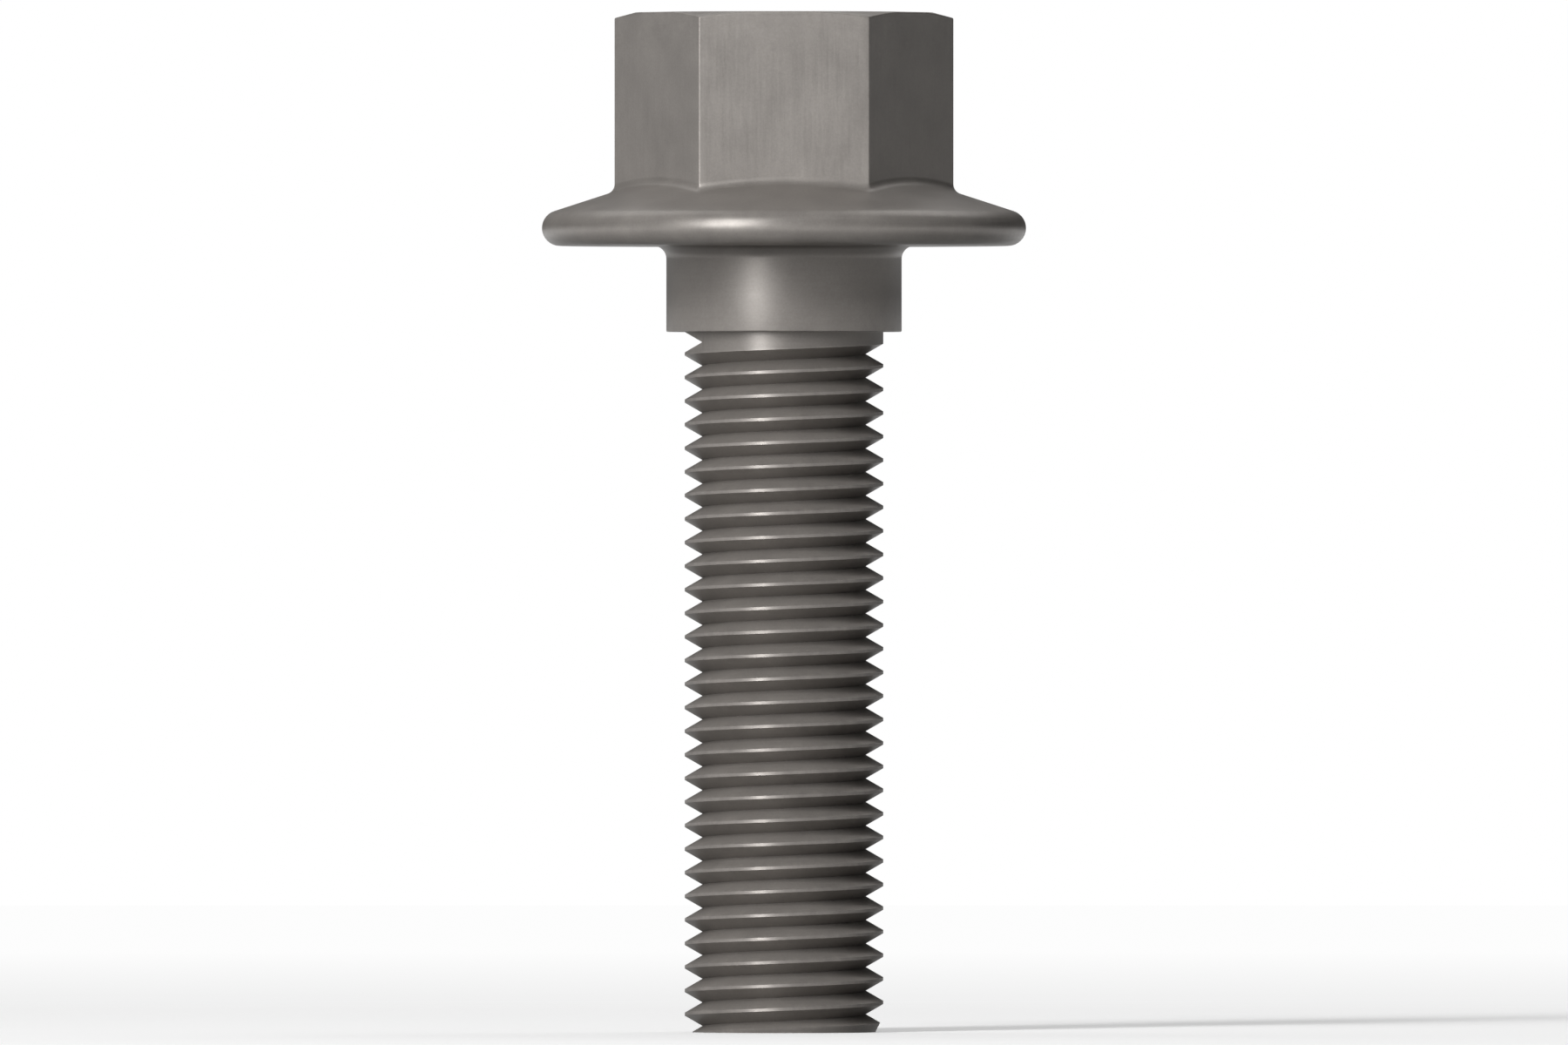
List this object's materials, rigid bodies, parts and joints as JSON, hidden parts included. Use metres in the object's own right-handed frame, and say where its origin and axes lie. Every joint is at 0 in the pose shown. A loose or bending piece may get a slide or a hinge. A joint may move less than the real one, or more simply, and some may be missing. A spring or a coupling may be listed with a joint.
{
  "type": "flange bolt",
  "caption": "Hexagon bolt with a sloping round flange under its head, a wide plain neck and a threaded shank.",
  "frame": {"origin": "centre of the bearing face under the flange, on the bolt's axis", "axes": "+Z along the bolt's axis, up through the head; the shank runs down -Z; +X through a corner of the hexagon, -Y square to a flat"},
  "size_m": [0.0244, 0.0244, 0.0513],
  "materials": {
    "steel": "plain warm grey steel, fine satin surface"
  },
  "bodies": {
    "root": {"flange_bolt": "steel"}
  },
  "joints": []
}
